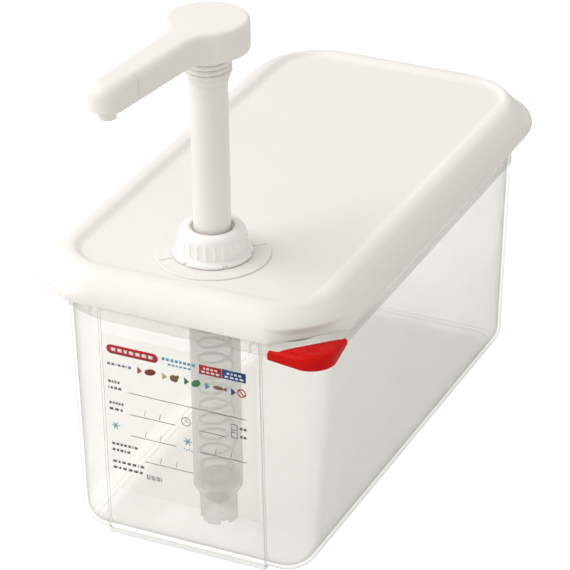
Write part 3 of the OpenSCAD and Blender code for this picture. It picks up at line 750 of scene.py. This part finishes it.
def head_loop(a, up, extra=0.0):
    """Ring of the head and spout at angle a of its upper or lower edge rounding."""
    ring = []
    for i in range(PLAN_COUNT):
        far = along(plan_point(i, 0)[1])
        e = 2.6 + 1.9 * far + 1.8 * tip_share(plan_point(i, 0)[1]) if up else 1.0
        x, y = plan_point(i, e * (1 - math.cos(a)) + extra)
        if up:
            z = HEAD_Z + HEAD_H - e * (1 - math.sin(a))
        else:
            z = HEAD_Z + ARM_RISE * along(y) + e * (1 - math.sin(a))
        ring.append((x, y, z))
    return ring


def mirror_cap(bm, row):
    """Caps a row that mirrors itself about the spout's tip, in strips across it."""
    n, m = len(row), TIP_STEPS // 2
    for k in range(n // 2):
        a, b, c, d = m + k, m + k + 1, (n + m - k - 1) % n, (n + m - k) % n
        corners = [a, b, c] if a == d else [a, b, d] if b == c else [a, b, c, d]
        bm.faces.new([row[i % n] for i in corners])


def head_blank():
    bm = bmesh.new()
    rings = [head_loop(a, False) for a in quarter(4)]
    rings += [head_loop(a, True) for a in quarter(10, 0, 90)]
    rings.append(head_loop(math.radians(90), True, 0.5))
    rings = [[turned(p) for p in ring] for ring in rings]
    rows = loft(bm, rings, caps=False)
    mirror_cap(bm, rows[0])
    mirror_cap(bm, rows[-1])
    bmesh.ops.recalc_face_normals(bm, faces=bm.faces)
    return bm


def cut_at_seam(bm, keep_head):
    """Keeps one side of the seam, closes it and breaks its edge."""
    a, half_gap = math.radians(-SPOUT_ANGLE), 0.04
    ahead = Vector((math.sin(a), -math.cos(a), 0))
    gap = half_gap if keep_head else -half_gap
    point = (Vector((0, -PUMP_Y, 0)) + ahead * (SEAM_Y - gap)) * MM
    parts = bm.verts[:] + bm.edges[:] + bm.faces[:]
    found = bmesh.ops.bisect_plane(
        bm, geom=parts, plane_co=point, plane_no=ahead,
        clear_outer=keep_head, clear_inner=not keep_head,
    )
    rim = [e for e in found["geom_cut"] if isinstance(e, bmesh.types.BMEdge)]
    bmesh.ops.holes_fill(bm, edges=rim, sides=0)
    bmesh.ops.bevel(
        bm, geom=rim, offset=0.28 * MM, segments=2, profile=0.5, affect="EDGES", clamp_overlap=True
    )


def add_head():
    head = head_blank()
    cut_at_seam(head, True)
    bore, bore_r, socket = bmesh.new(), STEM_R * 1.005, 4.35
    around = [2 * math.pi * i / 96 for i in range(96)]
    circle = [(bore_r * math.cos(t), bore_r * math.sin(t) - PUMP_Y) for t in around]
    loft(bore, [at_height(circle, HEAD_Z - 1), at_height(circle, HEAD_Z + socket)])
    add_piece("head_shell", subtract(head, bore), "pump_white", "head", ("pump_head",), sharp=50)
    tip = head_blank()
    cut_at_seam(tip, False)
    low, high = HEAD_Z - OUTLET_DROP, HEAD_Z + ARM_RISE + 1.0
    end = turned((0, -SPOUT_REACH, 0))
    nozzle = [
        (OUTLET_BORE_R, low), (OUTLET_BORE_R + 0.3, low - 0.02), (OUTLET_R - 0.3, low),
        (OUTLET_R, low + 0.3), (OUTLET_R, high), (0.4, high), (0.4, high - 1.2),
        (OUTLET_BORE_R, high - 1.2),
    ]
    revolve(tip, nozzle, 64, (end[0], end[1]))
    add_piece("tip_shell", tip, "pump_white", "head", ("spout_tip",), sharp=50)


# ---- return spring ----
def add_spring():
    """A coil whose first and last turns lie flat for rest of a turn."""
    per_turn, sides, rest = 28, 12, 0.8
    z0, z1 = SPRING_FOOT + 0.1 + WIRE_R, SPRING_TOP - WIRE_R
    rings = []
    for k in range(TURNS * per_turn + 1):
        t = k / per_turn
        a = 2 * math.pi * t
        z = z0 + (z1 - z0) * max(0.0, min(1.0, (t - rest) / (TURNS - 2 * rest)))
        ring = []
        for i in range(sides):
            b = -2 * math.pi * i / sides
            r = SPRING_R + WIRE_R * math.cos(b)
            ring.append((r * math.cos(a), r * math.sin(a) - PUMP_Y, z + WIRE_R * math.sin(b)))
        rings.append(ring)
    bm = bmesh.new()
    loft(bm, rings)
    spring = add_piece("spring_wire", bm, "stainless", "pump", ("return_spring",), sharp=60)
    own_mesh(spring)


# ---- label print ----
FILM_FRONT = PAD_PROUD + 0.21


def on_film(x, z, lift):
    """A point on the film's front, moved outwards by lift."""
    return (x, -(wall_y(z) + FILM_FRONT + lift), z)


class Ink:
    """One printed colour: flat shapes that stand very slightly proud of the film."""

    def __init__(self, name, rgb):
        self.name, self.rgb, self.bm = name, rgb, bmesh.new()

    def shape(self, points, lift=0.0):
        loft(self.bm, [[on_film(x, z, d + lift) for x, z in points] for d in (0.0, PRINT_T)])
        return self

    def bar(self, x0, x1, z0, z1, r=0.0, lift=0.0):
        if r <= 0:
            return self.shape([(x0, z0), (x1, z0), (x1, z1), (x0, z1)], lift)
        points = []
        for cx, cz, first in (
            (x1 - r, z0 + r, -90), (x1 - r, z1 - r, 0), (x0 + r, z1 - r, 90), (x0 + r, z0 + r, 180),
        ):
            for a in quarter(6, first, first + 90):
                points.append((cx + r * math.cos(a), cz + r * math.sin(a)))
        return self.shape(points, lift)

    def oval(self, x, z, rx, rz, lean=0.0, steps=28):
        points = []
        for k in range(steps):
            a = 2 * math.pi * k / steps
            u, v = rx * math.cos(a), rz * math.sin(a)
            points.append((
                x + u * math.cos(lean) - v * math.sin(lean),
                z + u * math.sin(lean) + v * math.cos(lean),
            ))
        return self.shape(points)

    def band(self, x, z, r, width):
        """A ring, as a closed band round its middle."""
        rings, steps = [], 32
        section = ((r, 0.0), (r - width, 0.0), (r - width, PRINT_T), (r, PRINT_T))
        for k in range(steps):
            a = 2 * math.pi * k / steps
            rings.append([
                on_film(x + radius * math.cos(a), z + radius * math.sin(a), d) for radius, d in section
            ])
        loft(self.bm, rings, wrap=True)
        return self

    def done(self):
        ink = moulded("ink_" + self.name, self.rgb, 0.3, 0.9, grain=0.000004)
        add_piece("print_" + self.name, self.bm, "label_film", "box", sharp=90, material=ink)


def words(ink, x0, x1, z, tall, lengths, lift=0.0):
    """A row of short strokes of the given relative lengths, in place of lettering."""
    gap = 0.45
    total = sum(lengths) + gap * (len(lengths) - 1)
    x, unit = x0, (x1 - x0) / total
    for length in lengths:
        ink.bar(x, x + length * unit, z - tall / 2, z + tall / 2, 0, lift)
        x += (length + gap) * unit


def add_print():
    """The label: coloured shapes along its top, then rows of lines, boxes and strokes below."""
    red = Ink("red", (196, 22, 28)).bar(-42.4, -12.0, 118.8, 124.2, 2.6).bar(12.0, 24.9, 118.6, 124.2)
    sky = Ink("sky", (96, 176, 214))
    blue = Ink("blue", (24, 66, 146)).bar(25.2, 39.0, 118.8, 124.4)
    violet = Ink("violet", (88, 44, 140))
    pink = Ink("pink", (222, 70, 104))
    cream = Ink("cream", (238, 208, 132))
    green = Ink("green", (44, 140, 72))
    brown = Ink("brown", (140, 46, 40))
    tan = Ink("tan", (134, 108, 58))
    grey = Ink("grey", (104, 108, 112))
    mauve = Ink("mauve", (126, 130, 184))
    white = Ink("white", (250, 250, 248))
    words(white, -39.6, -15.0, 121.5, 2.0, (1, 1, 0.7, 1, 1, 1, 1), PRINT_T)
    words(white, 14.6, 22.6, 122.3, 1.1, (0.5, 0.8, 0.8, 0.8), PRINT_T)
    words(white, 13.4, 23.8, 120.2, 1.1, (1, 0.8, 1, 1), PRINT_T)
    words(white, 28.0, 36.4, 122.4, 1.1, (0.8, 0.5, 0.8, 0.8), PRINT_T)
    words(white, 26.8, 37.6, 120.3, 1.1, (1, 1, 0.8, 1), PRINT_T)
    words(sky, -9.8, 9.6, 122.6, 1.7, (1, 1, 1, 1, 0.8, 1, 1, 1))
    words(sky, -6.4, 7.0, 119.8, 1.1, (1, 1, 0.6, 1, 1, 1))
    # a row of marks, each after a triangle
    words(mauve, -42.4, -28.3, 112.3, 1.5, (1, 1, 0.3, 1, 1, 0.3, 1))
    for x, ink in ((-24.6, pink), (-9.9, cream), (3.0, green), (15.2, sky), (30.2, violet)):
        ink.shape([(x, 109.6), (x + 2.9, 111.9), (x, 114.2)])
    brown.oval(-17.0, 112.3, 3.4, 1.9, 0.3)
    tan.oval(-3.0, 111.9, 2.5, 2.1).oval(-0.7, 113.4, 0.9, 0.9)
    green.oval(9.9, 112.0, 3.0, 1.9, 0.6)
    tan.oval(22.8, 112.3, 3.1, 1.2).shape([(25.4, 112.3), (27.6, 113.6), (27.6, 111.0)])
    red.band(36.3, 112.2, 2.6, 0.7).shape([(34.5, 113.5), (35.0, 114.0), (38.1, 110.9), (37.6, 110.4)])
    # lines to write on, some with slanting ticks, and the strokes beside them
    for x0, x1, z, ticks in (
        (-30.6, 38.4, 96.5, ()), (-30.3, -3.5, 83.1, (-21.4, -12.4)), (-30.4, -3.5, 69.9, (-21.4, -12.4)),
        (10.6, 25.2, 83.2, ()), (10.7, 38.2, 69.9, (20.0, 29.0)), (-22.6, 6.0, 55.4, (-13.0, -3.6)),
    ):
        grey.bar(x0, x1, z - 0.18, z + 0.18)
        for x in ticks:
            grey.shape([(x - 0.5, z + 0.9), (x - 0.2, z + 0.9), (x + 0.6, z + 4.4), (x + 0.3, z + 4.4)])
    for x0, x1, z, lengths in (
        (-42.4, -35.6, 101.4, (1, 0.6, 0.8, 0.8)), (-42.4, -34.8, 97.6, (0.3, 0.8, 1, 1)),
        (-42.4, -34.0, 88.2, (1, 0.8, 0.8, 0.8, 0.8)), (-42.4, -34.6, 84.4, (1, 1, 0.6)),
        (-42.0, -26.8, 62.6, (1, 1, 0.8, 1, 1, 0.4, 1)), (-42.0, -31.4, 58.8, (1, 0.8, 1, 0.5, 1)),
        (-42.0, -23.4, 51.4, (1, 0.6, 1, 1, 1, 0.3, 1)), (-42.0, -24.4, 47.6, (1, 0.6, 1, 1, 1, 0.8)),
        (34.6, 38.4, 90.2, (1, 1)), (34.6, 38.2, 85.2, (1, 1)),
    ):
        words(grey, x0, x1, z, 1.5, lengths)
    # a clock, two tick boxes and two six-armed stars
    grey.band(3.0, 86.8, 2.8, 0.4).bar(2.85, 3.15, 86.8, 88.8).bar(3.15, 4.6, 86.65, 86.95)
    for z in (88.4, 83.6):
        for x0, x1, z0, z1 in (
            (29.4, 33.2, z, z + 0.35), (29.4, 33.2, z + 3.4, z + 3.75),
            (29.41, 29.75, z + 0.36, z + 3.39), (32.85, 33.19, z + 0.36, z + 3.39),
        ):
            grey.bar(x0, x1, z0, z1)
    for x, z in ((-39.2, 74.2), (3.6, 74.6)):
        for k in range(3):
            a = math.pi * k / 3
            u, v = 2.4 * math.cos(a), 2.4 * math.sin(a)
            du, dv = -0.3 * math.sin(a), 0.3 * math.cos(a)
            sky.shape([
                (x - u - du, z - v - dv), (x + u - du, z + v - dv),
                (x + u + du, z + v + dv), (x - u + du, z - v + dv),
            ], 0.06 * k)
    # four drops, and a row of upright bars
    for k in range(4):
        sky.oval(1.4 + 1.5 * k, 69.8 - 0.8 * (k % 2), 0.45, 0.45, steps=12)
    for k in range(9):
        x = -21.8 + k * 1.05
        grey.bar(x, x + (0.35 if k % 3 else 0.6), 44.6, 47.6)
    for ink in (red, sky, blue, violet, pink, cream, green, brown, tan, grey, mauve, white):
        ink.done()


add_container()
add_lid()
add_clip()
add_nut()
add_collar()
add_head()
add_spring()
add_print()


# ---- studio ----
def add_camera():
    """The photo's camera, found by fitting the standard rim to the photo."""
    azimuth, elevation, roll = (math.radians(v) for v in (25.42, 28.30, -0.71))
    target, distance = Vector((-20.17, 21.62, 78.62)) * MM, 1.79983
    back = Vector((
        math.sin(azimuth) * math.cos(elevation),
        -math.cos(azimuth) * math.cos(elevation),
        math.sin(elevation),
    ))
    right = Vector((0, 0, 1)).cross(back).normalized()
    up = back.cross(right)
    axes = (
        right * math.cos(roll) + up * math.sin(roll),
        up * math.cos(roll) - right * math.sin(roll),
        back,
    )
    data = bpy.data.cameras.new("camera")
    data.sensor_width = 36.0
    data.lens = 198.2
    data.clip_start, data.clip_end = 0.1, 20.0
    made = add_object("camera", data)
    rotation = Matrix(axes).transposed().to_4x4()
    made.matrix_world = Matrix.Translation(target + back * distance) @ rotation
    bpy.context.scene.camera = made


def add_area(name, place, aim, size, power):
    """A rectangular light at place, turned towards aim."""
    data = bpy.data.lights.new(name, "AREA")
    data.shape = "RECTANGLE"
    data.size, data.size_y = size
    data.energy = power
    made = add_object(name, data)
    made.location = place
    made.rotation_mode = "QUATERNION"
    made.rotation_quaternion = (Vector(aim) - Vector(place)).to_track_quat("-Z", "Y")


def add_world():
    """A warm white sky, which the camera sees as plain white."""
    world = bpy.data.worlds.new("studio")
    world.use_nodes = True
    tree = world.node_tree
    light = tree.nodes["Background"]
    light.inputs[0].default_value = (1.0, 0.99, 0.945, 1.0)
    light.inputs[1].default_value = 0.68
    backdrop = tree.nodes.new("ShaderNodeBackground")
    backdrop.inputs[0].default_value = (1.0, 1.0, 1.0, 1.0)
    backdrop.inputs[1].default_value = 1.0
    path = tree.nodes.new("ShaderNodeLightPath")
    mix = tree.nodes.new("ShaderNodeMixShader")
    tree.links.new(path.outputs["Is Camera Ray"], mix.inputs[0])
    tree.links.new(light.outputs[0], mix.inputs[1])
    tree.links.new(backdrop.outputs[0], mix.inputs[2])
    tree.links.new(mix.outputs[0], tree.nodes["World Output"].inputs[0])
    bpy.context.scene.world = world


def add_floor():
    """White paper that lights the part like any other, and that the camera sees as plain white."""
    g = Graph("floor_paper")
    paper = g.mix_rgb(g.noise(30.0), (0.73, 0.73, 0.72, 1), (0.76, 0.76, 0.75, 1))
    diffuse = g.node("ShaderNodeBsdfDiffuse", {"Color": paper}).outputs[0]
    seen = g.node("ShaderNodeLightPath").outputs["Is Camera Ray"]
    glow = g.node("ShaderNodeEmission", {"Strength": seen}).outputs[0]
    material = g.finish(g.node("ShaderNodeAddShader", {0: diffuse, 1: glow}).outputs[0])
    half, z = 6.0, -0.0004
    corners = ((-half, -half), (half, -half), (half, half), (-half, half))
    bm = bmesh.new()
    bm.faces.new([bm.verts.new((x, y, z)) for x, y in corners])
    data = bpy.data.meshes.new("floor")
    bm.to_mesh(data)
    bm.free()
    data.materials.append(material)
    add_object("floor", data)


def add_studio():
    scene = bpy.context.scene
    scene.view_settings.view_transform = "Standard"
    scene.view_settings.look = "None"
    scene.cycles.transparent_max_bounces = 24
    scene.cycles.max_bounces = 12
    add_world()
    add_area("key", (-1.45, -0.85, 1.7), (0, 0, 0.15), (2.0, 2.0), 30.0)
    add_floor()


add_camera()
add_studio()
